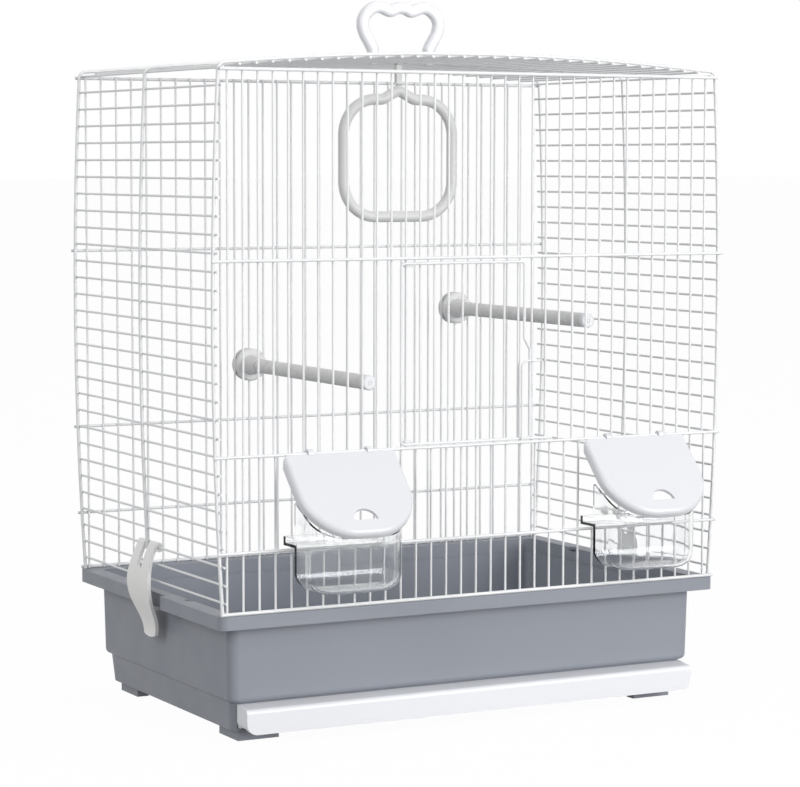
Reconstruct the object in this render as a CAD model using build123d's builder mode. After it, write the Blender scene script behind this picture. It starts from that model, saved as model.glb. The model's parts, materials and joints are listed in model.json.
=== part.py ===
from build123d import *
import math
import os

os.makedirs("parts", exist_ok=True)

# Driving dimensions, in millimetres. X runs along the front, the front faces -Y and Z is up.
# While it is modelled, the origin is on the floor, under the middle of the tray.

# Wire stock
BAR_D = 1.6
CROSS_D = 2.2
HOOP_D = 2.5
DOOR_WIRE_D = 2.0
WELD_GAP = 0.04
WIRE_STAND = 0.3

# Tray
RIM_WIDTH = 400.0
RIM_DEPTH = 255.2
RIM_TOP_Z = 90.7
RIM_HEIGHT = 9.4
RIM_CORNER = 6.0
RIM_PLATE = 2.6
RIM_LIP = (12.0, 11.6)
TUB_DRAUGHT = (1.2, 1.35)
TUB_LOW_Z = 28.0
TIER_INSET = (4.0, 5.0)
TIER_DRAUGHT = (2.0, 2.5)
TIER_LOW_Z = 8.0
TRAY_WALL = 2.5
TRAY_FLOOR = 2.0
TRAY_CORNER = 7.0
STEP_ROUND = 4.0
LEDGE_DROP = 11.0
LEDGE_WIDTH = 1.6
FOOT_INSET = (5.5, 4.5)
FOOT_ARM = 31.0
FOOT_BREADTH = 9.0
CLIP_NOTCH_WIDTH = 50.0
CLIP_NOTCH_DEPTH = 5.0
RIM_RECESS_R = 5.0
RIM_RECESS_Y = 50.0
RIM_RECESS_DEPTH = 3.0

# Pull-out drawer
DRAWER_SIDE_GAP = 1.5
DRAWER_LIFT = 0.4
DRAWER_BOX_HEIGHT = 15.0
DRAWER_BOX_WALL = 1.8
DRAWER_MOUTH_GAP = 0.8
DRAWER_BACK_GAP = 3.0
DRAWER_FACE_INSET = 1.5
DRAWER_FACE_HEIGHT = 19.0
DRAWER_FACE_TOP_GAP = 0.8
DRAWER_FACE_THICK = 16.2
DRAWER_FACE_WALL = 2.4
DRAWER_FACE_CORNER = 8.0
DRAWER_FACE_FALL = 1.6
DRAWER_FACE_ROUND = 3.0
DRAWER_PLATE_T = 5.0
DRAWER_BLOCK_LIFT = 4.0

# Wire cage outline: bulging sides and an arched roof
HOOP_INSET = 3.8
BELLY_BULGE = 3.2
BELLY_RISE = 199.3
SIDE_RADIUS = 3100.0
CROWN_RISE = 379.8
ROOF_RADIUS = 2150.0
CORNER_BEND = 5.0
TOP_RAIL_DROP = 13.2
CROSS_RISES = (42.4, 107.4, 238.9)
CROSS_OVERHANG = 2.0

# Bars and mesh wires
UPPER_COUNT = 35
UPPER_END_GAPS = (7.6, 9.9)
LOWER_COUNT = 33
LOWER_END_GAPS = (6.4, 8.32)
BACK_COUNT = 33
BACK_END_GAP = 6.4
SIDE_COUNT = 29
SIDE_FIRST_RISE = 8.6
SIDE_LAST_DROP = 24.0
SIDE_STICKOUT = 2.4
ROOF_HALF_COUNT = 15
ROOF_END_GAP = 17.0

# Door in the upper front panel
DOOR_LEFT_COUNT = 12
DOOR_COUNT = 8
DOOR_LEFT_REACH = 4.6
DOOR_TOP_DROP = 3.6
DOOR_BOTTOM_CLEAR = 0.5
DOOR_PLANE_GAP = 0.15
DOOR_RIGHT_REACH = 4.1
DOOR_JOG_REACH = 8.7
DOOR_JOG_RISES = (73.9, 65.9)
DOOR_STOP_REACH = 27.0
DOOR_BEND = 3.0
EYE_WIRE_D = 1.4
EYE_GAP = 0.3
EYE_LENGTH = 5.0
LATCH_REACH = 1.3
LATCH_HOOK_REACH = 17.2
LATCH_HOOK_RISE = 57.9
LATCH_BEND = 5.0
LATCH_TIP = 3.6

# Carry handle
HANDLE_X = 5.0
HANDLE_LEG_REACH = 23.0
HANDLE_LEG_W = 6.0
HANDLE_BAR_W = 8.8
HANDLE_THICK = 8.0
HANDLE_ROUND = 3.0
HANDLE_EYE_R = 4.2
HANDLE_FOOT_RISE = 7.0
HANDLE_SIDE_CURVE = ((29.6, 18.8), (31.5, 25.1), (30.4, 30.8), (26.3, 35.6))
HANDLE_GRIP_CURVE = ((17.5, 38.4), (8.4, 35.6))
HANDLE_MID_RISE = 38.0
PIVOT_GAP = 0.35

# Swing
SWING_X = 3.0
SWING_HALF_W = 45.2
SWING_NECK_DROP = 22.0
SWING_TOP_DROP = 29.0
SWING_LOW_DROP = 114.9
SWING_BAR_D = 8.0
SWING_CORNER = 26.0
SWING_DIP_X = 13.0
SWING_EYE_W = 4.6
SWING_EYE_R = 4.2
SWING_STEM_W = 3.4
SWING_SEAT_GAP = 0.2

# Perches
PERCH_LEFT_COUNTS = (11, 26)
PERCH_RISES = (149.5, 188.9)
PERCH_END_INSET = 50.6
PERCH_ROD_D = 10.6
PERCH_CAP_D = 10.9
PERCH_CAP_LENGTH = 4.0
PERCH_DISC_D = 25.0
PERCH_DISC_T = 4.6
PERCH_DISC_ROUND = 1.8
PERCH_CONE_D = 15.6
PERCH_CONE_LENGTH = 8.0
PERCH_COLLAR_D = 13.0
PERCH_COLLAR_LENGTH = 7.0
PERCH_SOCKET = 12.0
PERCH_NUT_T = 4.5
PERCH_PEG_D = 3.6
PERCH_PEG_X = 5.4
PERCH_PEG_DEPTH = 4.0

# Feeders: a clear cup under a hinged lid
FEEDER_LEFT_COUNTS = (7, 28)
FEEDER_SHIFTS = (-2.1, 0.8)
FEEDER_EYE_COUNT = 2
CUP_WIDTH = 69.0
CUP_DEPTH = 40.0
CUP_BOTTOM_DROP = 28.1
CUP_WALL = 1.8
CUP_FRONT_R = 20.0
CUP_LOW_R = 12.0
CUP_RIM_BACK_RISE = 31.9
CUP_RIM_FRONT_RISE = 10.9
CUP_INSIDE_REACH = 15.0
CUP_INSIDE_RIM_RISE = 7.4
CUP_REST_GAP = 0.1
CUP_SIDE_GAP = 1.2
LID_WIDTH = 86.6
LID_REACH = 69.8
LID_SLOPE = 46.3
LID_TOP = 1.2
LID_PLATE = 2.2
LID_SKIRT = 5.4
LID_FRONT_R = 37.0
LID_BACK_R = 8.0
LID_EDGE_R = 4.0
LID_PANEL_GAP = 0.6
LID_EYE_R = 3.1
LID_EYE_W = 3.6
LID_HOLE_AT = 58.5
LID_HOLE_R = 9.0

# Side clips that lock the wire cage to the tray
CLIP_BELOW_COUNT = 2
CLIP_T = 2.4
CLIP_EYE_R = 3.4
CLIP_EAR_OUT = 16.0
CLIP_SLOT = 8.0
CLIP_SLOT_DROP = 17.1
CLIP_HALF_W = 19.0
CLIP_LOW_DROP = 64.1
CLIP_TIP_DROP = 1.5
CLIP_CURVE = ((6.2, 10.1), (9.0, 26.1), (6.8, 39.6), (1.6, 52.1), (0.6, 68.1))
CLIP_OUTLINE = ((15.5, -3.9), (16.0, 8.1), (CLIP_HALF_W, 27.1), (14.6, 48.1), (9.6, CLIP_LOW_DROP))
CATCH_ROOT = 5.2
CATCH_GAP = 0.5
CATCH_T = 2.6
CATCH_HALF_W = 9.0
CATCH_BITE = 3.4



def drawn_in(size, inset):
    """Width and depth, each made smaller by its inset at both ends."""
    return (size[0] - 2 * inset[0], size[1] - 2 * inset[1])


# Sizes and planes worked out from the driving dimensions
TUB_TOP_SIZE = drawn_in((RIM_WIDTH, RIM_DEPTH), RIM_LIP)
TUB_LOW_SIZE = drawn_in(TUB_TOP_SIZE, TUB_DRAUGHT)
TIER_TOP_SIZE = drawn_in(TUB_TOP_SIZE, TIER_INSET)
TIER_LOW_SIZE = drawn_in(TIER_TOP_SIZE, TIER_DRAUGHT)
FOOT_SPAN = drawn_in(TIER_LOW_SIZE, FOOT_INSET)
HOOP_Y = RIM_DEPTH / 2 - HOOP_INSET
HALF_WIDTH = RIM_WIDTH / 2 + BELLY_BULGE
BELLY_Z = RIM_TOP_Z + BELLY_RISE
CROWN_Z = RIM_TOP_Z + CROWN_RISE
TOP_RAIL_Z = CROWN_Z - TOP_RAIL_DROP
CROSS_HEIGHTS = [RIM_TOP_Z + rise for rise in CROSS_RISES]
CUP_BAR_Z, LID_BAR_Z, DOOR_HEAD_Z = CROSS_HEIGHTS
CROSS_Y = HOOP_Y + HOOP_D / 2 + CROSS_D / 2 + WELD_GAP
BAR_Y = CROSS_Y - CROSS_D / 2 - BAR_D / 2 - WELD_GAP
RAIL_Y = HOOP_Y + HOOP_D + WELD_GAP
BOTTOM_RAIL_Z = RIM_TOP_Z + WELD_GAP + HOOP_D / 2
WIRE_FOOT_Z = RIM_TOP_Z + WIRE_STAND
INSET = HOOP_D / 2 + BAR_D / 2 + WELD_GAP


def side_x(z):
    """Half-width of a hoop's centreline at a height."""
    return HALF_WIDTH - SIDE_RADIUS + math.sqrt(SIDE_RADIUS**2 - (z - BELLY_Z) ** 2)


def roof_z(x):
    """Height of a hoop's roof arch at a distance from the middle."""
    return CROWN_Z - ROOF_RADIUS + math.sqrt(ROOF_RADIUS**2 - x**2)


def spaced(first, last, count):
    """Evenly spaced places from the first to the last."""
    return [first + (last - first) * i / (count - 1) for i in range(count)]


CORNER_Z = roof_z(side_x(roof_z(HALF_WIDTH)))
UPPER_X = spaced(-RIM_WIDTH / 2 + UPPER_END_GAPS[0], RIM_WIDTH / 2 - UPPER_END_GAPS[1], UPPER_COUNT)
LOWER_X = spaced(-RIM_WIDTH / 2 + LOWER_END_GAPS[0], RIM_WIDTH / 2 - LOWER_END_GAPS[1], LOWER_COUNT)
BACK_X = spaced(-RIM_WIDTH / 2 + BACK_END_GAP, RIM_WIDTH / 2 - BACK_END_GAP, BACK_COUNT)
SIDE_Z = spaced(RIM_TOP_Z + SIDE_FIRST_RISE, CROWN_Z - SIDE_LAST_DROP, SIDE_COUNT)
UPPER_PITCH = UPPER_X[1] - UPPER_X[0]
ROOF_PITCH = (RIM_WIDTH / 2 - ROOF_END_GAP) / ROOF_HALF_COUNT
HINGE_X = UPPER_X[DOOR_LEFT_COUNT]
DOOR_END_X = UPPER_X[DOOR_LEFT_COUNT + DOOR_COUNT]
FEEDER_X = [
    UPPER_X[count] + UPPER_PITCH / 2 + shift
    for count, shift in zip(FEEDER_LEFT_COUNTS, FEEDER_SHIFTS)
]
CLIP_Z = SIDE_Z[CLIP_BELOW_COUNT]
CLIP_X = side_x(CLIP_Z) - INSET
HANDLE_AXIS_Z = roof_z(HANDLE_LEG_REACH)
SWING_AXIS_Z = roof_z(SWING_X)


pieces = {}


def save(builder, name):
    """Keep a finished piece under its name."""
    pieces[name] = builder.part


def hoop(y, foot_z):
    """One wire bent up the left side, over the roof and down the right side."""
    corner_x = side_x(CORNER_Z)
    middle_z = (foot_z + CORNER_Z) / 2
    with BuildPart() as bent:
        with BuildLine(Plane.XZ.offset(-y)) as path:
            ThreePointArc((side_x(foot_z), foot_z), (side_x(middle_z), middle_z), (corner_x, CORNER_Z))
            ThreePointArc((corner_x, CORNER_Z), (0, CROWN_Z), (-corner_x, CORNER_Z))
            ThreePointArc((-corner_x, CORNER_Z), (-side_x(middle_z), middle_z), (-side_x(foot_z), foot_z))
            fillet(path.vertices().sort_by(Axis.Z)[-2:], CORNER_BEND)
        with BuildSketch(Plane(origin=path.line @ 0, z_dir=path.line % 0)):
            Circle(HOOP_D / 2)
        sweep()
    return bent.part


def upright(xs, y, low_z, high_z):
    """Vertical bars at the given places."""
    with BuildPart() as bars:
        with Locations(*[(x, y, low_z) for x in xs]):
            Cylinder(BAR_D / 2, high_z - low_z, align=(Align.CENTER, Align.CENTER, Align.MIN))
    return bars.part


def crossbar(z, y, diameter, overhang=CROSS_OVERHANG):
    """Horizontal wire that covers both posts and runs a little past them."""
    with BuildPart() as wire:
        with Locations((0, y, z)):
            Cylinder(diameter / 2, 2 * (side_x(z) + overhang), rotation=(0, 90, 0))
    return wire.part


# Wire hoops
with BuildPart() as front_hoop:
    add(hoop(-HOOP_Y, WIRE_FOOT_Z))
save(front_hoop, "front_hoop")

with BuildPart() as middle_hoop:
    add(hoop(0, CLIP_Z - HOOP_D))
save(middle_hoop, "middle_hoop")

with BuildPart() as back_hoop:
    add(hoop(HOOP_Y, WIRE_FOOT_Z))
save(back_hoop, "back_hoop")

# Front and back crossbars and rails
with BuildPart() as front_crossbars:
    for height in CROSS_HEIGHTS:
        add(crossbar(height, -CROSS_Y, CROSS_D))
save(front_crossbars, "front_crossbars")

with BuildPart() as back_crossbars:
    for height in CROSS_HEIGHTS:
        add(crossbar(height, CROSS_Y, CROSS_D))
    add(crossbar(TOP_RAIL_Z, RAIL_Y, HOOP_D))
    add(crossbar(BOTTOM_RAIL_Z, RAIL_Y, HOOP_D))
save(back_crossbars, "back_crossbars")

with BuildPart() as front_top_rail:
    add(crossbar(TOP_RAIL_Z, -RAIL_Y, HOOP_D, overhang=0))
save(front_top_rail, "front_top_rail")

with BuildPart() as front_bottom_rail:
    add(crossbar(BOTTOM_RAIL_Z, -RAIL_Y, HOOP_D))
save(front_bottom_rail, "front_bottom_rail")

# Front bars above the feeder crossbar, left out where the door is
bar_top_z = TOP_RAIL_Z + HOOP_D / 2
door_xs = UPPER_X[DOOR_LEFT_COUNT + 1 : DOOR_LEFT_COUNT + DOOR_COUNT + 1]
with BuildPart() as front_upper_bars:
    full_xs = [x for x in UPPER_X if x not in door_xs]
    add(upright(full_xs, -BAR_Y, LID_BAR_Z + WELD_GAP, bar_top_z))
    add(upright(door_xs, -BAR_Y, DOOR_HEAD_Z - CROSS_D / 2, bar_top_z))
save(front_upper_bars, "front_upper_bars")

# Front bars below it, cut short behind each cup
feeding_half = CUP_WIDTH / 2 + BAR_D / 2 + CUP_SIDE_GAP
with BuildPart() as front_lower_bars:
    short_xs = [x for x in LOWER_X if min(abs(x - c) for c in FEEDER_X) < feeding_half]
    full_xs = [x for x in LOWER_X if x not in short_xs]
    add(upright(full_xs, -BAR_Y, WIRE_FOOT_Z, LID_BAR_Z - WELD_GAP))
    add(upright(short_xs, -BAR_Y, WIRE_FOOT_Z, CUP_BAR_Z + WELD_GAP))
save(front_lower_bars, "front_lower_bars")

with BuildPart() as back_bars:
    add(upright(BACK_X, BAR_Y, WIRE_FOOT_Z, bar_top_z))
save(back_bars, "back_bars")


def side_wires(side):
    """Wires that run front to back inside the hoops, on one side (1 right, -1 left)."""
    face_y = HOOP_Y + HOOP_D / 2
    rails = [*CROSS_HEIGHTS, TOP_RAIL_Z]
    with BuildPart() as wires:
        for z in SIDE_Z:
            level = min(abs(z - rail) for rail in rails) < HOOP_D
            reach = face_y if level else face_y + SIDE_STICKOUT
            with Locations((side * (side_x(z) - INSET), 0, z)):
                Cylinder(BAR_D / 2, 2 * reach, rotation=(90, 0, 0))
        nook = CORNER_BEND - (CORNER_BEND - INSET) / math.sqrt(2)
        with Locations((side * (side_x(CORNER_Z) - nook), 0, CORNER_Z - nook)):
            Cylinder(BAR_D / 2, 2 * face_y, rotation=(90, 0, 0))
    return wires.part


with BuildPart() as left_side_wires:
    add(side_wires(-1))
save(left_side_wires, "left_side_wires")

with BuildPart() as right_side_wires:
    add(side_wires(1))
save(right_side_wires, "right_side_wires")

with BuildPart() as roof_wires:
    roof_xs = [HANDLE_X + ROOF_PITCH * (i + 0.5) for i in range(-ROOF_HALF_COUNT - 1, ROOF_HALF_COUNT)]
    with Locations(*[(x, 0, roof_z(x) - INSET) for x in roof_xs]):
        Cylinder(BAR_D / 2, 2 * (HOOP_Y + HOOP_D / 2 + SIDE_STICKOUT), rotation=(90, 0, 0))
save(roof_wires, "roof_wires")


def draughted(low_size, low_z, high_size, high_z, inset=0.0, corner=TRAY_CORNER):
    """Block between two rounded rectangles, each drawn in by the inset."""
    with BuildPart() as block:
        for size, z in ((low_size, low_z), (high_size, high_z)):
            with BuildSketch(Plane.XY.offset(z)):
                RectangleRounded(size[0] - 2 * inset, size[1] - 2 * inset, corner - inset)
        loft(ruled=True)
    return block.part


# Two-tier tray with a rim, a drawer mouth in front and four angle feet
drawer_box_width = TIER_LOW_SIZE[0] - 2 * (TRAY_WALL + DRAWER_SIDE_GAP)
drawer_low_z = TIER_LOW_Z + TRAY_FLOOR + DRAWER_LIFT
with BuildPart() as base_tray:
    add(draughted(TUB_LOW_SIZE, TUB_LOW_Z, TUB_TOP_SIZE, RIM_TOP_Z))
    fillet(base_tray.faces().sort_by(Axis.Z)[0].edges(), STEP_ROUND)
    add(draughted(TIER_LOW_SIZE, TIER_LOW_Z, TIER_TOP_SIZE, TUB_LOW_Z + STEP_ROUND))
    with BuildSketch(Plane.XY.offset(RIM_TOP_Z)):
        RectangleRounded(RIM_WIDTH, RIM_DEPTH, RIM_CORNER)
    extrude(amount=-RIM_HEIGHT)
    with BuildSketch(Plane.XY.offset(RIM_TOP_Z - RIM_HEIGHT)):
        RectangleRounded(RIM_WIDTH - 2 * TRAY_WALL, RIM_DEPTH - 2 * TRAY_WALL, RIM_CORNER - TRAY_WALL)
        RectangleRounded(*TUB_TOP_SIZE, TRAY_CORNER, mode=Mode.SUBTRACT)
        Rectangle(RIM_WIDTH, CLIP_NOTCH_WIDTH + 2 * TRAY_WALL, mode=Mode.SUBTRACT)
    extrude(amount=RIM_HEIGHT - RIM_PLATE, mode=Mode.SUBTRACT)
    with Locations((RIM_WIDTH / 2, 0, RIM_TOP_Z), (-RIM_WIDTH / 2, 0, RIM_TOP_Z)):
        Box(2 * CLIP_NOTCH_DEPTH, CLIP_NOTCH_WIDTH, 2 * RIM_HEIGHT, mode=Mode.SUBTRACT)
    add(
        draughted(TUB_LOW_SIZE, TUB_LOW_Z + TRAY_FLOOR, TUB_TOP_SIZE, RIM_TOP_Z, TRAY_WALL),
        mode=Mode.SUBTRACT,
    )
    with BuildSketch(Plane.XY.offset(RIM_TOP_Z)):
        RectangleRounded(
            TUB_TOP_SIZE[0] - 2 * (TRAY_WALL - LEDGE_WIDTH),
            TUB_TOP_SIZE[1] - 2 * (TRAY_WALL - LEDGE_WIDTH),
            TRAY_CORNER - TRAY_WALL + LEDGE_WIDTH,
        )
    extrude(amount=-LEDGE_DROP, mode=Mode.SUBTRACT)
    add(
        draughted(
            TIER_LOW_SIZE, TIER_LOW_Z + TRAY_FLOOR, TIER_TOP_SIZE, TUB_LOW_Z + 2 * STEP_ROUND, TRAY_WALL
        ),
        mode=Mode.SUBTRACT,
    )
    with Locations((0, -TIER_TOP_SIZE[1] / 2, TIER_LOW_Z + TRAY_FLOOR)):
        Box(
            drawer_box_width + 2 * DRAWER_MOUTH_GAP,
            2 * (TRAY_WALL + TRAY_CORNER),
            DRAWER_LIFT + DRAWER_BOX_HEIGHT + DRAWER_MOUTH_GAP,
            align=(Align.CENTER, Align.CENTER, Align.MIN),
            mode=Mode.SUBTRACT,
        )
    recess_x = TUB_TOP_SIZE[0] / 2 - TRAY_WALL + LEDGE_WIDTH
    with Locations(*[(sx * recess_x, sy * RIM_RECESS_Y, RIM_TOP_Z) for sx in (1, -1) for sy in (1, -1)]):
        Cylinder(RIM_RECESS_R, 2 * RIM_RECESS_DEPTH, mode=Mode.SUBTRACT)
    with BuildSketch():
        for sx in (1, -1):
            for sy in (1, -1):
                corner = (sx * FOOT_SPAN[0] / 2, sy * FOOT_SPAN[1] / 2)
                with Locations((corner[0] - sx * FOOT_ARM / 2, corner[1] - sy * FOOT_BREADTH / 2)):
                    Rectangle(FOOT_ARM, FOOT_BREADTH)
                with Locations((corner[0] - sx * FOOT_BREADTH / 2, corner[1] - sy * FOOT_ARM / 2)):
                    Rectangle(FOOT_BREADTH, FOOT_ARM)
    extrude(amount=TIER_LOW_Z)
save(base_tray, "base_tray")

# Shallow drawer with a hollow grip rail across its front
face_back_y = -TIER_TOP_SIZE[1] / 2 - DRAWER_LIFT
face_top_z = TUB_LOW_Z - DRAWER_FACE_TOP_GAP
face_low_z = face_top_z - DRAWER_FACE_HEIGHT
drawer_back_y = TIER_LOW_SIZE[1] / 2 - TRAY_WALL - DRAWER_BACK_GAP
face_front_y = face_back_y - DRAWER_FACE_THICK
face_width = TIER_LOW_SIZE[0] - 2 * DRAWER_FACE_INSET
with BuildPart() as drawer:
    with BuildSketch(Plane.YZ):
        with BuildLine():
            Polyline(
                (face_back_y, face_top_z),
                (face_front_y, face_top_z - DRAWER_FACE_FALL),
                (face_front_y, face_low_z),
                (face_front_y + DRAWER_PLATE_T, face_low_z),
                (face_front_y + DRAWER_PLATE_T, face_low_z + DRAWER_BLOCK_LIFT),
                (face_back_y, face_low_z + DRAWER_BLOCK_LIFT),
                close=True,
            )
        make_face()
    extrude(amount=face_width / 2, both=True)
    plate_corners = drawer.edges().filter_by(Axis.Y).group_by(Axis.Z)[0]
    fillet(plate_corners, DRAWER_FACE_CORNER)
    front_top = drawer.edges().filter_by(Axis.X).group_by(Axis.Y)[0].sort_by(Axis.Z)[-1]
    fillet(front_top, DRAWER_FACE_ROUND)
    with BuildSketch(Plane.XY.offset(face_low_z)):
        with Locations((0, face_back_y - DRAWER_FACE_THICK / 2)):
            Rectangle(
                face_width - 2 * DRAWER_FACE_CORNER,
                DRAWER_FACE_THICK - 2 * DRAWER_FACE_WALL,
            )
    grip_depth = DRAWER_FACE_HEIGHT - DRAWER_FACE_FALL - DRAWER_FACE_WALL
    extrude(amount=grip_depth, mode=Mode.SUBTRACT)
    with BuildSketch(Plane.XY.offset(drawer_low_z)):
        with Locations((0, (face_back_y + drawer_back_y) / 2)):
            Rectangle(drawer_box_width, drawer_back_y - face_back_y)
    extrude(amount=DRAWER_BOX_HEIGHT)
    with BuildSketch(Plane.XY.offset(drawer_low_z + DRAWER_BOX_WALL)):
        with Locations((0, (face_back_y + drawer_back_y) / 2)):
            Rectangle(
                drawer_box_width - 2 * DRAWER_BOX_WALL,
                drawer_back_y - face_back_y - 2 * DRAWER_BOX_WALL,
            )
    extrude(amount=DRAWER_BOX_HEIGHT, mode=Mode.SUBTRACT)
save(drawer, "drawer")

# Door: one bent frame wire, its bars, a sprung latch wire and two hinge eyes
door_y = -(BAR_Y + BAR_D / 2 + DOOR_WIRE_D / 2 + DOOR_PLANE_GAP)
door_low_z = LID_BAR_Z + CROSS_D / 2 + DOOR_BOTTOM_CLEAR + DOOR_WIRE_D / 2
door_top_z = DOOR_HEAD_Z - DOOR_TOP_DROP
with BuildPart() as door_frame:
    with BuildLine(Plane.XZ.offset(-door_y)) as frame_path:
        FilletPolyline(
            (DOOR_END_X + DOOR_STOP_REACH, door_low_z),
            (HINGE_X - DOOR_LEFT_REACH, door_low_z),
            (HINGE_X - DOOR_LEFT_REACH, door_top_z),
            (DOOR_END_X + DOOR_RIGHT_REACH, door_top_z),
            (DOOR_END_X + DOOR_RIGHT_REACH, LID_BAR_Z + DOOR_JOG_RISES[0]),
            (DOOR_END_X + DOOR_JOG_REACH, LID_BAR_Z + DOOR_JOG_RISES[1]),
            (DOOR_END_X + DOOR_JOG_REACH, door_low_z + DOOR_WIRE_D + WELD_GAP),
            radius=DOOR_BEND,
        )
    with BuildSketch(Plane(origin=frame_path.line @ 0, z_dir=frame_path.line % 0)):
        Circle(DOOR_WIRE_D / 2)
    sweep()
save(door_frame, "door_frame")

door_bar_y = door_y + DOOR_WIRE_D / 2 + BAR_D / 2 + WELD_GAP
with BuildPart() as door_bars:
    add(upright(door_xs, door_bar_y, door_low_z - DOOR_WIRE_D / 2, door_top_z + DOOR_WIRE_D / 2))
save(door_bars, "door_bars")

with BuildPart() as door_latch_wire:
    latch_y = door_y - DOOR_WIRE_D / 2 - BAR_D / 2 - WELD_GAP
    latch_x = DOOR_END_X + LATCH_REACH
    hook_x = DOOR_END_X + LATCH_HOOK_REACH
    hook_z = LID_BAR_Z + LATCH_HOOK_RISE
    with BuildLine() as latch_path:
        FilletPolyline(
            (latch_x, latch_y, door_low_z - DOOR_WIRE_D / 2),
            (latch_x, latch_y, hook_z),
            (hook_x, latch_y, hook_z),
            (hook_x, latch_y + LATCH_TIP, hook_z),
            radius=[LATCH_BEND, BAR_D],
        )
    with BuildSketch(Plane(origin=latch_path.line @ 0, z_dir=latch_path.line % 0)):
        Circle(BAR_D / 2)
    sweep()
save(door_latch_wire, "door_latch_wire")

eye_r = BAR_D / 2 + EYE_GAP + EYE_WIRE_D / 2
eye_rise = DOOR_WIRE_D / 2 + EYE_WIRE_D / 2 + WELD_GAP
with BuildPart() as door_hinge_eyes:
    for z in (door_low_z + eye_rise, door_top_z - eye_rise):
        with BuildLine(Plane.XY.offset(z)) as eye_path:
            Line((HINGE_X + EYE_LENGTH, -BAR_Y - eye_r), (HINGE_X, -BAR_Y - eye_r))
            ThreePointArc((HINGE_X, -BAR_Y - eye_r), (HINGE_X - eye_r, -BAR_Y), (HINGE_X, -BAR_Y + eye_r))
            Line((HINGE_X, -BAR_Y + eye_r), (HINGE_X + EYE_LENGTH, -BAR_Y + eye_r))
        with BuildSketch(Plane(origin=eye_path.line @ 0, z_dir=eye_path.line % 0)):
            Circle(EYE_WIRE_D / 2)
        sweep()
save(door_hinge_eyes, "door_hinge_eyes")

# Carry handle: a lobed loop on two legs that hold the middle hoop
with BuildPart() as carry_handle:
    foot = (HANDLE_LEG_REACH, HANDLE_FOOT_RISE)
    with BuildLine(Plane.XZ) as handle_path:
        Spline(
            *[
                (HANDLE_X - out, HANDLE_AXIS_Z + rise)
                for out, rise in (foot, *HANDLE_SIDE_CURVE, *HANDLE_GRIP_CURVE, (0, HANDLE_MID_RISE))
            ],
            tangents=((-0.4, 1), (1, 0)),
        )
    leg_x = HANDLE_X - HANDLE_LEG_REACH
    section_plane = Plane(origin=handle_path.line @ 0, x_dir=(0, 1, 0), z_dir=handle_path.line % 0)
    with BuildSketch(section_plane) as bar_section:
        RectangleRounded(HANDLE_THICK, HANDLE_BAR_W, HANDLE_ROUND)
    sweep(path=handle_path.line)
    with BuildSketch(section_plane):
        add(bar_section.sketch_local)
    with BuildSketch(Plane(origin=(leg_x, 0, HANDLE_AXIS_Z), x_dir=(0, 1, 0), z_dir=(0, 0, 1))):
        RectangleRounded(HANDLE_THICK, HANDLE_LEG_W, HANDLE_LEG_W / 3)
    loft()
    with BuildSketch(Plane.YZ.offset(leg_x)):
        with Locations((0, HANDLE_AXIS_Z)):
            Circle(HANDLE_EYE_R)
    extrude(amount=HANDLE_LEG_W / 2, both=True)
    with Locations((leg_x, 0, HANDLE_AXIS_Z)):
        Cylinder(HOOP_D / 2 + PIVOT_GAP, 2 * HANDLE_LEG_W, rotation=(0, 90, 0), mode=Mode.SUBTRACT)
    mirror(about=Plane.YZ.offset(HANDLE_X))
save(carry_handle, "carry_handle")

# Swing: a rounded square ring with a dipped top, hung from a plastic hook
swing_neck_z = CROWN_Z - SWING_NECK_DROP
swing_top_z = CROWN_Z - SWING_TOP_DROP
swing_low_z = CROWN_Z - SWING_LOW_DROP
neck_rise = (swing_neck_z - swing_top_z) / SWING_DIP_X
neck_top_z = swing_neck_z + SWING_BAR_D / 2 * math.hypot(1, neck_rise)
with BuildPart() as swing_ring:
    with BuildLine(Plane.XZ) as swing_path:
        FilletPolyline(
            (SWING_X + SWING_BAR_D, swing_neck_z + SWING_BAR_D * neck_rise),
            (SWING_X - SWING_DIP_X, swing_top_z),
            (SWING_X - SWING_HALF_W, swing_top_z),
            (SWING_X - SWING_HALF_W, swing_low_z),
            (SWING_X, swing_low_z),
            radius=[SWING_BAR_D, SWING_CORNER, SWING_CORNER],
        )
    with BuildSketch(Plane(origin=swing_path.line @ 0, z_dir=swing_path.line % 0)):
        Circle(SWING_BAR_D / 2)
    sweep()
    split(bisect_by=Plane.YZ.offset(SWING_X), keep=Keep.BOTTOM)
    mirror(about=Plane.YZ.offset(SWING_X))
save(swing_ring, "swing_ring")

with BuildPart() as swing_hook:
    stem_low_z = neck_top_z + SWING_SEAT_GAP
    with BuildSketch(Plane.YZ.offset(SWING_X)):
        with Locations((0, SWING_AXIS_Z)):
            Circle(SWING_EYE_R)
        with Locations((0, stem_low_z)):
            Rectangle(
                SWING_STEM_W, SWING_AXIS_Z - stem_low_z, align=(Align.CENTER, Align.MIN)
            )
    extrude(amount=SWING_EYE_W / 2, both=True)
    with Locations((SWING_X, 0, SWING_AXIS_Z)):
        Cylinder(HOOP_D / 2 + PIVOT_GAP, 2 * SWING_EYE_W, rotation=(0, 90, 0), mode=Mode.SUBTRACT)
save(swing_hook, "swing_hook")

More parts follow.
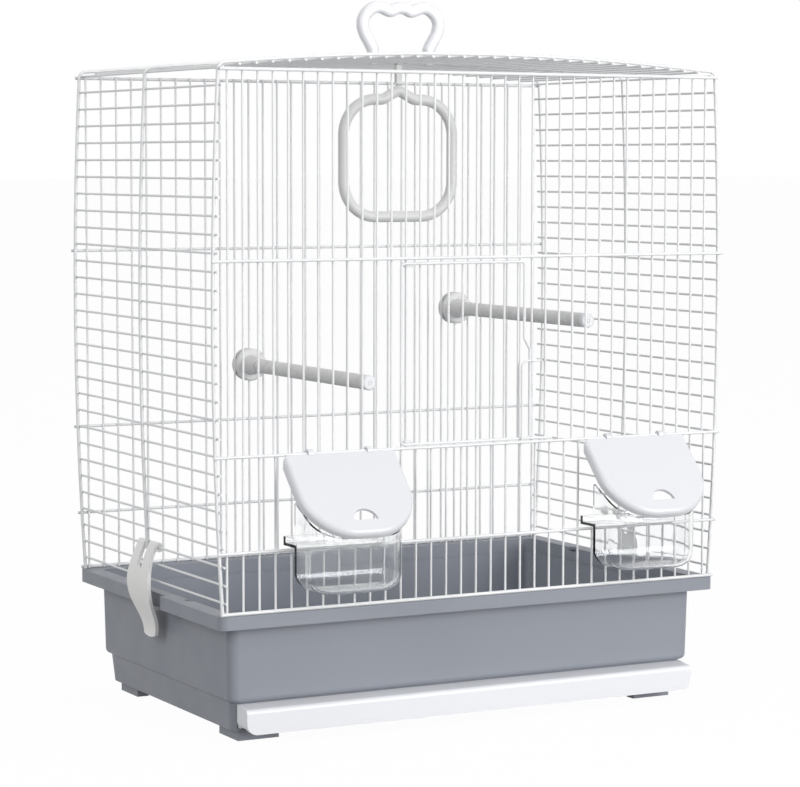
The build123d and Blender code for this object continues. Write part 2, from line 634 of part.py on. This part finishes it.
# Perches: a rod in a hub inside the back bars, held by a nut outside them
hub_back_y = BAR_Y - BAR_D / 2 - WELD_GAP
nut_front_y = BAR_Y + BAR_D / 2 + WELD_GAP
for name, left_count, rise in zip(("perch_left", "perch_right"), PERCH_LEFT_COUNTS, PERCH_RISES):
    centre_x = BACK_X[left_count]
    height = RIM_TOP_Z + rise
    hub_front_y = hub_back_y - PERCH_DISC_T - PERCH_CONE_LENGTH - PERCH_COLLAR_LENGTH
    rod_back_y = hub_front_y + PERCH_SOCKET
    cap_back_y = PERCH_END_INSET - RIM_DEPTH / 2 + PERCH_CAP_LENGTH
    with BuildPart() as hub:
        with BuildSketch(Plane.XZ.offset(-hub_back_y)):
            with Locations((centre_x, height)):
                Circle(PERCH_DISC_D / 2)
        extrude(amount=PERCH_DISC_T)
        fillet(hub.edges().filter_by(GeomType.CIRCLE).sort_by(Axis.Y)[0], PERCH_DISC_ROUND)
        with BuildSketch(Plane.XZ.offset(-hub_back_y + PERCH_DISC_T - WELD_GAP)):
            with Locations((centre_x, height)):
                Circle(PERCH_CONE_D / 2)
        with BuildSketch(Plane.XZ.offset(-hub_back_y + PERCH_DISC_T + PERCH_CONE_LENGTH)):
            with Locations((centre_x, height)):
                Circle(PERCH_COLLAR_D / 2)
        loft()
        with BuildSketch(Plane.XZ.offset(-hub_front_y)):
            with Locations((centre_x, height)):
                Circle(PERCH_COLLAR_D / 2)
        extrude(amount=-PERCH_COLLAR_LENGTH)
        with BuildSketch(Plane.XZ.offset(-hub_front_y)):
            with Locations((centre_x, height)):
                Circle(PERCH_ROD_D / 2 + WELD_GAP)
        extrude(amount=-PERCH_SOCKET, mode=Mode.SUBTRACT)
        with BuildSketch(Plane.XZ.offset(-hub_back_y)):
            with Locations((centre_x - PERCH_PEG_X, height), (centre_x + PERCH_PEG_X, height)):
                Circle(PERCH_PEG_D / 2 + WELD_GAP)
        extrude(amount=PERCH_PEG_DEPTH, mode=Mode.SUBTRACT)
    save(hub, f"{name}_hub")

    with BuildPart() as rod:
        with BuildSketch(Plane.XZ.offset(-rod_back_y + WELD_GAP)):
            with Locations((centre_x, height)):
                Circle(PERCH_ROD_D / 2)
        extrude(amount=rod_back_y - cap_back_y - 2 * WELD_GAP)
    save(rod, f"{name}_rod")

    with BuildPart() as cap:
        with BuildSketch(Plane.XZ.offset(-cap_back_y)):
            with Locations((centre_x, height)):
                Circle(PERCH_CAP_D / 2)
        extrude(amount=PERCH_CAP_LENGTH)
        fillet(cap.edges().filter_by(GeomType.CIRCLE).sort_by(Axis.Y)[0], PERCH_CAP_LENGTH / 3)
    save(cap, f"{name}_end_cap")

    with BuildPart() as nut:
        with BuildSketch(Plane.XZ.offset(-nut_front_y)):
            with Locations((centre_x, height)):
                Circle(PERCH_DISC_D / 2)
        extrude(amount=-PERCH_NUT_T)
        fillet(nut.edges().filter_by(GeomType.CIRCLE).sort_by(Axis.Y)[-1], PERCH_NUT_T / 3)
        with BuildSketch(Plane.XZ.offset(-nut_front_y)):
            with Locations((centre_x - PERCH_PEG_X, height), (centre_x + PERCH_PEG_X, height)):
                Circle(PERCH_PEG_D / 2)
        extrude(amount=nut_front_y - hub_back_y + PERCH_PEG_DEPTH - PERCH_PEG_D / 4)
    save(nut, f"{name}_nut")

# Feeders
cup_back_y = -CROSS_Y - CROSS_D / 2 - CUP_REST_GAP
cup_ledge_z = CUP_BAR_Z + CROSS_D / 2 + CUP_REST_GAP
cup_inside_y = cup_back_y + CUP_INSIDE_REACH + CROSS_D
cup_low_z = CUP_BAR_Z - CUP_BOTTOM_DROP
cup_back_rim_z = CUP_BAR_Z + CUP_RIM_BACK_RISE
cup_front_rim_z = CUP_BAR_Z + CUP_RIM_FRONT_RISE
cup_inside_rim_z = CUP_BAR_Z + CUP_INSIDE_RIM_RISE
for name, centre_x in zip(("feeder_left", "feeder_right"), FEEDER_X):
    with BuildPart() as cup:
        with BuildSketch(Plane.XY.offset(cup_low_z)):
            with Locations((centre_x, cup_back_y)):
                bowl = Rectangle(CUP_WIDTH, CUP_DEPTH, align=(Align.CENTER, Align.MAX))
            fillet(bowl.vertices().group_by(Axis.Y)[0], CUP_FRONT_R)
        extrude(amount=cup_back_rim_z - cup_low_z)
        fillet(cup.faces().sort_by(Axis.Z)[0].edges(), CUP_LOW_R)
        with BuildSketch(Plane.XY.offset(cup_low_z + CUP_WALL)):
            with Locations((centre_x, cup_back_y - CUP_WALL)):
                hollow = Rectangle(
                    CUP_WIDTH - 2 * CUP_WALL, CUP_DEPTH - 2 * CUP_WALL, align=(Align.CENTER, Align.MAX)
                )
            fillet(hollow.vertices().group_by(Axis.Y)[0], CUP_FRONT_R - CUP_WALL)
        hollow_solid = extrude(amount=cup_back_rim_z - cup_low_z, mode=Mode.PRIVATE)
        low_edges = hollow_solid.faces().sort_by(Axis.Z)[0].edges()
        add(hollow_solid.fillet(CUP_LOW_R - CUP_WALL, low_edges), mode=Mode.SUBTRACT)
        with BuildSketch(Plane.XY.offset(cup_ledge_z)):
            with Locations((centre_x, cup_back_y - CUP_WALL)):
                Rectangle(
                    CUP_WIDTH, cup_inside_y - cup_back_y + CUP_WALL, align=(Align.CENTER, Align.MIN)
                )
        extrude(amount=cup_inside_rim_z - cup_ledge_z)
        with BuildSketch(Plane.XY.offset(cup_ledge_z + CUP_WALL)):
            with Locations((centre_x, cup_back_y - 2 * CUP_WALL)):
                Rectangle(
                    CUP_WIDTH - 2 * CUP_WALL,
                    cup_inside_y - cup_back_y + CUP_WALL,
                    align=(Align.CENTER, Align.MIN),
                )
        extrude(amount=cup_back_rim_z - cup_ledge_z, mode=Mode.SUBTRACT)
        with BuildSketch(Plane.YZ.offset(centre_x)):
            with BuildLine():
                Polyline(
                    (cup_back_y, cup_back_rim_z),
                    (cup_back_y - CUP_DEPTH, cup_front_rim_z),
                    (cup_back_y - 2 * CUP_DEPTH, cup_front_rim_z),
                    (cup_back_y - 2 * CUP_DEPTH, 2 * cup_back_rim_z),
                    (cup_back_y, 2 * cup_back_rim_z),
                    close=True,
                )
            make_face()
        extrude(amount=CUP_WIDTH, both=True, mode=Mode.SUBTRACT)
    save(cup, f"{name}_cup")

    slope = math.radians(LID_SLOPE)
    lid_plane = Plane(
        origin=(centre_x, -CROSS_Y, LID_BAR_Z),
        x_dir=(1, 0, 0),
        z_dir=(0, -math.sin(slope), math.cos(slope)),
    )
    lid_up = Axis(lid_plane.origin, lid_plane.z_dir)
    with BuildPart() as lid:
        with BuildSketch(lid_plane.offset(LID_TOP)):
            shape = Rectangle(LID_WIDTH, LID_REACH, align=(Align.CENTER, Align.MAX))
            fillet(shape.vertices().group_by(Axis.Y)[0], LID_FRONT_R)
            fillet(shape.vertices().group_by(Axis.Y)[-1], LID_BACK_R)
        extrude(amount=-LID_TOP - LID_SKIRT)
        fillet(lid.faces().sort_by(lid_up)[-1].edges().filter_by(Axis.X, reverse=True), LID_EDGE_R)
        with BuildSketch(lid_plane.offset(LID_TOP - LID_PLATE)):
            inner = Rectangle(
                LID_WIDTH - 2 * LID_PLATE, LID_REACH - LID_PLATE, align=(Align.CENTER, Align.MAX)
            )
            fillet(inner.vertices().group_by(Axis.Y)[0], LID_FRONT_R - LID_PLATE)
        extrude(amount=-2 * LID_SKIRT, mode=Mode.SUBTRACT)
        with BuildSketch(lid_plane.offset(LID_TOP)):
            with Locations((0, -LID_HOLE_AT)):
                Circle(LID_HOLE_R)
                Rectangle(
                    2 * LID_HOLE_R, LID_HOLE_R, align=(Align.CENTER, Align.MAX), mode=Mode.SUBTRACT
                )
        extrude(amount=-2 * LID_PLATE, mode=Mode.SUBTRACT)
        with Locations((centre_x, -CROSS_Y - CROSS_D / 2 - LID_PANEL_GAP, LID_BAR_Z)):
            Box(
                2 * LID_WIDTH,
                LID_REACH,
                LID_REACH,
                align=(Align.CENTER, Align.MIN, Align.CENTER),
                mode=Mode.SUBTRACT,
            )
        eye_offset = FEEDER_EYE_COUNT * UPPER_PITCH
        eye_places = [(centre_x + side * eye_offset, -CROSS_Y, LID_BAR_Z) for side in (-1, 1)]
        with Locations(*eye_places):
            Cylinder(LID_EYE_R, LID_EYE_W, rotation=(0, 90, 0))
        with Locations(*eye_places):
            Cylinder(
                CROSS_D / 2 + PIVOT_GAP, 2 * LID_EYE_W, rotation=(0, 90, 0), mode=Mode.SUBTRACT
            )
    save(lid, f"{name}_lid")


def clip(side):
    """Swinging clip on one side (1 right, -1 left), hooked round a side wire."""
    with BuildPart() as body:
        with BuildSketch(Plane.XZ):
            with BuildLine():
                Spline(
                    (side * (CLIP_X + CLIP_EYE_R - CLIP_T / 2), CLIP_Z),
                    *[(side * (CLIP_X + out), CLIP_Z - drop) for out, drop in CLIP_CURVE],
                )
            trace(line_width=CLIP_T)
        extrude(amount=2 * CLIP_HALF_W, both=True)
        with BuildSketch(Plane.YZ):
            with BuildLine():
                edge = Spline(*[(half, CLIP_Z - drop) for half, drop in CLIP_OUTLINE])
                mirror(edge, about=Plane.YZ)
                tip_z = CLIP_Z - CLIP_LOW_DROP - CLIP_TIP_DROP
                low_left = (-(edge @ 1).X, (edge @ 1).Y)
                ThreePointArc(edge @ 1, (0, tip_z), low_left)
                Line(edge @ 0, (-(edge @ 0).X, (edge @ 0).Y))
            make_face()
            with Locations((0, CLIP_Z - CLIP_SLOT_DROP + CLIP_SLOT / 2)):
                Circle(CLIP_SLOT / 2, mode=Mode.SUBTRACT)
                Rectangle(
                    CLIP_SLOT, 4 * CLIP_SLOT, align=(Align.CENTER, Align.MIN), mode=Mode.SUBTRACT
                )
        extrude(amount=2 * RIM_WIDTH, both=True, mode=Mode.INTERSECT)
        ear_y = (CLIP_SLOT / 2 + CLIP_EAR_OUT) / 2
        with Locations((side * CLIP_X, ear_y, CLIP_Z), (side * CLIP_X, -ear_y, CLIP_Z)):
            Cylinder(CLIP_EYE_R, CLIP_EAR_OUT - CLIP_SLOT / 2, rotation=(90, 0, 0))
        with Locations((side * CLIP_X, 0, CLIP_Z)):
            Cylinder(
                BAR_D / 2 + PIVOT_GAP, 4 * CLIP_EAR_OUT, rotation=(90, 0, 0), mode=Mode.SUBTRACT
            )
        catch_top_z = RIM_TOP_Z - RIM_HEIGHT - CATCH_GAP
        catch_out_x = CLIP_X + CATCH_ROOT
        catch_in_x = RIM_WIDTH / 2 - CLIP_NOTCH_DEPTH - CATCH_BITE
        with Locations((side * (catch_out_x + catch_in_x) / 2, 0, catch_top_z - CATCH_T / 2)):
            Box(catch_out_x - catch_in_x, 2 * CATCH_HALF_W, CATCH_T)
    return body.part


with BuildPart() as left_clip:
    add(clip(-1))
save(left_clip, "left_clip")

with BuildPart() as right_clip:
    add(clip(1))
save(right_clip, "right_clip")

# Every piece is written with the middle of the whole cage's box over the origin
boxes = [piece.bounding_box() for piece in pieces.values()]
middle_y = (min(box.min.Y for box in boxes) + max(box.max.Y for box in boxes)) / 2
for name, piece in pieces.items():
    placed = piece.moved(Location((0, -middle_y, 0)))
    placed.label = name
    export_step(placed, f"parts/{name}.step")
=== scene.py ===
import json
import math

import bmesh
import bpy
from mathutils import Matrix, Vector


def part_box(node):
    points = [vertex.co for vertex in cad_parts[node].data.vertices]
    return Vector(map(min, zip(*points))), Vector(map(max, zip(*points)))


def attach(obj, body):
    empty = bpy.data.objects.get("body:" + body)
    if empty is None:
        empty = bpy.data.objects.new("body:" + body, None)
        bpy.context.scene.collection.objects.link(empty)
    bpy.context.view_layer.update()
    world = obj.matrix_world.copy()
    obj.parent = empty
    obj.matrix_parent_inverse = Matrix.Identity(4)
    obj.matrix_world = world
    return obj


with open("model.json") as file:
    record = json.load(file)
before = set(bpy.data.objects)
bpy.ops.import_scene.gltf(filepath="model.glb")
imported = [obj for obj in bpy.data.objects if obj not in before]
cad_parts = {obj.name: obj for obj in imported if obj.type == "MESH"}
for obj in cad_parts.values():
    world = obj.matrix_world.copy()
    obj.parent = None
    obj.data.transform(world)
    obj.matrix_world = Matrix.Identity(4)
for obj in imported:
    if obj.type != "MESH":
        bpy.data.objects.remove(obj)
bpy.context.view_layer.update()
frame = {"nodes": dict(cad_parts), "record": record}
nodes = frame["nodes"]
slot_of = {row["node"]: row["material_slot"] for row in frame["record"]["subparts"]}

# Camera, solved from the cage's parallel edges, in metres and degrees.
# Its place is measured from the floor under the middle hoop.
CAMERA_AT = (-0.9563, -1.7910, 0.3958)
CAMERA_YAW = 28.22
CAMERA_PITCH = -4.82
CAMERA_ROLL = 0.09
FOCAL_PX = 2745.8
IMAGE_W = 800
SENSOR_MM = 36.0

# Moulded finishes: linear colour, grain size and depth in metres, roughness range,
# how much the tone varies, and the size of the patches it varies in
FINISHES = {
    "white_wire": ((0.80, 0.81, 0.82), 0.0006, 0.00004, (0.28, 0.42), 0.05, 0.05),
    "grey_tray": ((0.266, 0.283, 0.322), 0.0007, 0.00004, (0.40, 0.50), 0.03, 0.12),
    "white_plastic": ((0.80, 0.81, 0.84), 0.0009, 0.00002, (0.30, 0.33), 0.01, 0.2),
    "light_grey_plastic": ((0.69, 0.69, 0.69), 0.0007, 0.00004, (0.36, 0.5), 0.05, 0.05),
    "perch_grip": ((0.71, 0.71, 0.71), 0.0016, 0.0003, (0.5, 0.7), 0.12, 0.006),
    "clip_plastic": ((0.90, 0.90, 0.89), 0.0008, 0.00004, (0.36, 0.48), 0.02, 0.05),
    # Feeder lids: the white plastic's colour darkened by about 0.89, painted shade
    "lid_plastic_painted_shade": ((0.71, 0.72, 0.75), 0.0009, 0.00002, (0.30, 0.33), 0.01, 0.2),
}
PLASTIC_IOR = 1.5
TRAY_SHINE = 0.3

# Nodes whose finish is not their slot's own; the lids get their white plastic darkened as
# painted shade
SPECIAL_FINISH = {
    "left_clip": "clip_plastic",
    "right_clip": "clip_plastic",
    "feeder_left_lid": "lid_plastic_painted_shade",
    "feeder_right_lid": "lid_plastic_painted_shade",
}

# Clear plastic: index, haze and tint
CLEAR_IOR = 1.42
CLEAR_HAZE = (0.01, 0.06)
CLEAR_TINTS = ((0.95, 0.96, 0.965), (0.99, 0.995, 1.0))
HAZE_SIZE = 0.02
TINT_SIZE = 0.03
RIPPLE_SIZE = 0.012
RIPPLE_DEPTH = 0.0002

# Floor paper, linear colours
PAPER = (0.93, 0.93, 0.93)
PAPER_BOUNCE = (0.30, 0.30, 0.30)
FLOOR_GLOW = 0.975
FLOOR_SIZE = 120

# Weld beads and the mark on each perch cap, in metres
SHORTEST_WIRE = 0.01
WELD_REACH = 0.004
WELD_RADII = (0.0011, 0.0013, 0.0013)
MARK_R = 0.0013
MARK_WIRE = 0.0003

# Lamps: name, place, size, watts
LAMPS = (
    ("key", (1.3, -2.7, 0.75), 1.6, 72.0),
    ("fill", (-2.6, -1.2, 1.3), 1.6, 28.0),
    ("top", (0.1, 0.2, 2.4), 1.6, 12.0),
)
LAMP_AIM = (0, 0, 0.25)
WORLD_LEVEL = 0.40


def new_material(name):
    """Material with a Principled shader, and object coordinates to drive its detail."""
    material = bpy.data.materials.new(name)
    material.use_nodes = True
    tree = material.node_tree
    shader = tree.nodes["Principled BSDF"]
    coords = tree.nodes.new("ShaderNodeTexCoord")
    return material, tree, shader, coords.outputs["Object"]


def noise(tree, coords, size, detail=3.0, roughness=0.5):
    """Noise whose features are about the given size, in metres."""
    node = tree.nodes.new("ShaderNodeTexNoise")
    node.inputs["Scale"].default_value = 1 / size
    node.inputs["Detail"].default_value = detail
    node.inputs["Roughness"].default_value = roughness
    tree.links.new(coords, node.inputs["Vector"])
    return node.outputs["Fac"]


def ramp(tree, value, low, high, at=(0.3, 0.7)):
    """Two-colour ramp of a value."""
    node = tree.nodes.new("ShaderNodeValToRGB")
    node.color_ramp.elements[0].position = at[0]
    node.color_ramp.elements[0].color = (*low, 1)
    node.color_ramp.elements[1].position = at[1]
    node.color_ramp.elements[1].color = (*high, 1)
    tree.links.new(value, node.inputs["Fac"])
    return node.outputs["Color"]


def levels(tree, value, low, high):
    """Value stretched to run between two levels."""
    node = tree.nodes.new("ShaderNodeMapRange")
    node.inputs["From Min"].default_value = 0.3
    node.inputs["From Max"].default_value = 0.7
    node.inputs["To Min"].default_value = low
    node.inputs["To Max"].default_value = high
    tree.links.new(value, node.inputs["Value"])
    return node.outputs["Result"]


def bump(tree, shader, height, depth, strength=1.0):
    """Bump of a height field, depth in metres."""
    node = tree.nodes.new("ShaderNodeBump")
    node.inputs["Strength"].default_value = strength
    node.inputs["Distance"].default_value = depth
    tree.links.new(height, node.inputs["Height"])
    tree.links.new(node.outputs["Normal"], shader.inputs["Normal"])


def scaled(colour, factor):
    """Colour times a factor."""
    return tuple(c * factor for c in colour)


def moulded(name):
    """Moulded plastic or powder coat: fine grain, cloudy tone and uneven gloss."""
    colour, grain, grain_depth, rough, vary, patch = FINISHES[name]
    material, tree, shader, coords = new_material(name)
    tone = noise(tree, coords, patch, detail=5.0)
    colours = ramp(tree, tone, scaled(colour, 1 - vary), scaled(colour, 1 + vary / 2))
    tree.links.new(colours, shader.inputs["Base Color"])
    gloss = noise(tree, coords, patch / 6, detail=4.0)
    tree.links.new(levels(tree, gloss, rough[0], rough[1]), shader.inputs["Roughness"])
    bump(tree, shader, noise(tree, coords, grain, detail=4.0, roughness=0.6), grain_depth)
    shader.inputs["IOR"].default_value = PLASTIC_IOR
    return material


def clear_plastic():
    """Clear moulded plastic with faint haze."""
    material, tree, shader, coords = new_material("clear_plastic")
    shader.inputs["Transmission Weight"].default_value = 1.0
    shader.inputs["IOR"].default_value = CLEAR_IOR
    haze = noise(tree, coords, HAZE_SIZE, detail=4.0)
    tree.links.new(levels(tree, haze, *CLEAR_HAZE), shader.inputs["Roughness"])
    tint = ramp(tree, noise(tree, coords, TINT_SIZE), *CLEAR_TINTS)
    tree.links.new(tint, shader.inputs["Base Color"])
    bump(tree, shader, noise(tree, coords, RIPPLE_SIZE, detail=2.0), RIPPLE_DEPTH, 0.5)
    return material


materials = {name: moulded(name) for name in FINISHES}
materials["clear_plastic"] = clear_plastic()
tray_shader = materials["grey_tray"].node_tree.nodes["Principled BSDF"]
tray_shader.inputs["Specular IOR Level"].default_value = TRAY_SHINE

for name, node in nodes.items():
    finish = SPECIAL_FINISH.get(name, slot_of[name])
    node.data.materials.clear()
    node.data.materials.append(materials[finish])


def wire_boxes(name, axis):
    """Lowest and highest corners of each straight wire in a node, along an axis."""
    mesh = bmesh.new()
    mesh.from_mesh(nodes[name].data)
    unseen = set(mesh.verts)
    boxes = {}
    while unseen:
        island = [unseen.pop()]
        for vert in island:
            for edge in vert.link_edges:
                other = edge.other_vert(vert)
                if other in unseen:
                    unseen.remove(other)
                    island.append(other)
        low = Vector([min(vert.co[i] for vert in island) for i in range(3)])
        high = Vector([max(vert.co[i] for vert in island) for i in range(3)])
        if high[axis] - low[axis] > SHORTEST_WIRE:
            boxes[tuple(round(c, 4) for c in (low + high) / 2)] = (low, high)
    mesh.free()
    return list(boxes.values())


def new_piece(name, mesh, slot, body):
    """Object made from a bmesh, smooth, in its slot's material and on its body."""
    data = bpy.data.meshes.new(name)
    mesh.to_mesh(data)
    mesh.free()
    data.polygons.foreach_set("use_smooth", [True] * len(data.polygons))
    data.materials.append(materials[slot])
    piece = bpy.data.objects.new(name, data)
    bpy.context.scene.collection.objects.link(piece)
    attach(piece, body)


def bead(mesh, place):
    """One weld bead."""
    shape = Matrix.Translation(place) @ Matrix.Diagonal((*WELD_RADII, 1))
    bmesh.ops.create_icosphere(mesh, subdivisions=2, radius=1, matrix=shape)


def welds(name, bars, rails, body):
    """Beads where upright bars cross the level rails in front of or behind them."""
    mesh = bmesh.new()
    for rail in [box for node in rails for box in wire_boxes(node, 0)]:
        rail_at = (rail[0] + rail[1]) / 2
        for bar in [box for node in bars for box in wire_boxes(node, 2)]:
            bar_at = (bar[0] + bar[1]) / 2
            inside = rail[0].x < bar_at.x < rail[1].x and bar[0].z <= rail_at.z <= bar[1].z
            if inside and abs(rail_at.y - bar_at.y) < WELD_REACH:
                place = (bar_at.x, (rail_at.y + bar_at.y) / 2, rail_at.z)
                bead(mesh, place)
    new_piece(name, mesh, "white_wire", body)


welds(
    "front_welds",
    ["front_upper_bars", "front_lower_bars"],
    ["front_crossbars", "front_top_rail", "front_bottom_rail"],
    "cage",
)
welds("back_welds", ["back_bars"], ["back_crossbars"], "cage")


def cap_mark(name):
    """Small moulded ring in the middle of a perch's end cap."""
    low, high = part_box(name)
    bpy.ops.mesh.primitive_torus_add(
        major_radius=MARK_R, minor_radius=MARK_WIRE, major_segments=24, minor_segments=10,
        location=((low.x + high.x) / 2, low.y, (low.z + high.z) / 2),
        rotation=(math.pi / 2, 0, 0),
    )
    mark = bpy.context.object
    mark.name = name + "_mark"
    mark.data.materials.append(materials["light_grey_plastic"])
    bpy.ops.object.shade_smooth()
    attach(mark, "cage")


for name in ("perch_left_end_cap", "perch_right_end_cap"):
    cap_mark(name)


def ray_share(tree):
    """1 for what the camera sees directly, in gloss or through clear parts, else 0."""
    path = tree.nodes.new("ShaderNodeLightPath")
    total = path.outputs["Is Camera Ray"]
    for kind in ("Is Glossy Ray", "Is Transmission Ray"):
        join = tree.nodes.new("ShaderNodeMath")
        join.operation = "MAXIMUM"
        tree.links.new(total, join.inputs[0])
        tree.links.new(path.outputs[kind], join.inputs[1])
        total = join.outputs["Value"]
    return total


def paper(tree, colour):
    """Matt shader of one colour."""
    shader = tree.nodes.new("ShaderNodeBsdfDiffuse")
    shader.inputs["Color"].default_value = (*colour, 1)
    return shader.outputs["BSDF"]


def mixed(tree, share, first, second):
    """Mix of two shaders by a share, a number or a socket."""
    mix = tree.nodes.new("ShaderNodeMixShader")
    if isinstance(share, float):
        mix.inputs["Fac"].default_value = share
    else:
        tree.links.new(share, mix.inputs["Fac"])
    tree.links.new(first, mix.inputs[1])
    tree.links.new(second, mix.inputs[2])
    return mix.outputs["Shader"]


def floor_material():
    """Paper that shows white, keeps the shadow and throws little light back up."""
    material = bpy.data.materials.new("floor_paper")
    material.use_nodes = True
    tree = material.node_tree
    tree.nodes.remove(tree.nodes["Principled BSDF"])
    glow = tree.nodes.new("ShaderNodeEmission").outputs["Emission"]
    seen = mixed(tree, FLOOR_GLOW, paper(tree, PAPER), glow)
    surface = mixed(tree, ray_share(tree), paper(tree, PAPER_BOUNCE), seen)
    tree.links.new(surface, tree.nodes["Material Output"].inputs["Surface"])
    return material


bpy.ops.mesh.primitive_plane_add(size=FLOOR_SIZE, location=(0, 0, 0))
floor = bpy.context.object
floor.name = "floor"
floor.data.materials.append(floor_material())

world = bpy.data.worlds.new("studio")
bpy.context.scene.world = world
world.use_nodes = True
sky = world.node_tree
background = sky.nodes["Background"]
background.inputs["Color"].default_value = (1, 1, 1, 1)
level = sky.nodes.new("ShaderNodeMapRange")
level.inputs["To Min"].default_value = WORLD_LEVEL
level.inputs["To Max"].default_value = 1.0
sky.links.new(ray_share(sky), level.inputs["Value"])
sky.links.new(level.outputs["Result"], background.inputs["Strength"])

for name, place, size, watts in LAMPS:
    lamp = bpy.data.lights.new(name, "AREA")
    lamp.energy = watts
    lamp.size = size
    holder = bpy.data.objects.new(name, lamp)
    bpy.context.scene.collection.objects.link(holder)
    holder.location = place
    aim = Vector(LAMP_AIM) - Vector(place)
    holder.rotation_euler = aim.to_track_quat("-Z", "Y").to_euler()

yaw = math.radians(CAMERA_YAW)
pitch = math.radians(CAMERA_PITCH)
forward = Vector(
    (math.sin(yaw) * math.cos(pitch), math.cos(yaw) * math.cos(pitch), math.sin(pitch))
)
camera_data = bpy.data.cameras.new("camera")
camera_data.sensor_width = SENSOR_MM
camera_data.sensor_fit = "HORIZONTAL"
camera_data.lens = FOCAL_PX / IMAGE_W * SENSOR_MM
camera = bpy.data.objects.new("camera", camera_data)
bpy.context.scene.collection.objects.link(camera)
turn = forward.to_track_quat("-Z", "Y").to_matrix().to_4x4()
roll = Matrix.Rotation(math.radians(CAMERA_ROLL), 4, "Z")
hoop_low, hoop_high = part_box("middle_hoop")
hoop_foot = Vector((0, (hoop_low.y + hoop_high.y) / 2, 0))
camera.matrix_world = Matrix.Translation(Vector(CAMERA_AT) + hoop_foot) @ turn @ roll
bpy.context.scene.camera = camera
bpy.context.scene.view_settings.view_transform = "Standard"
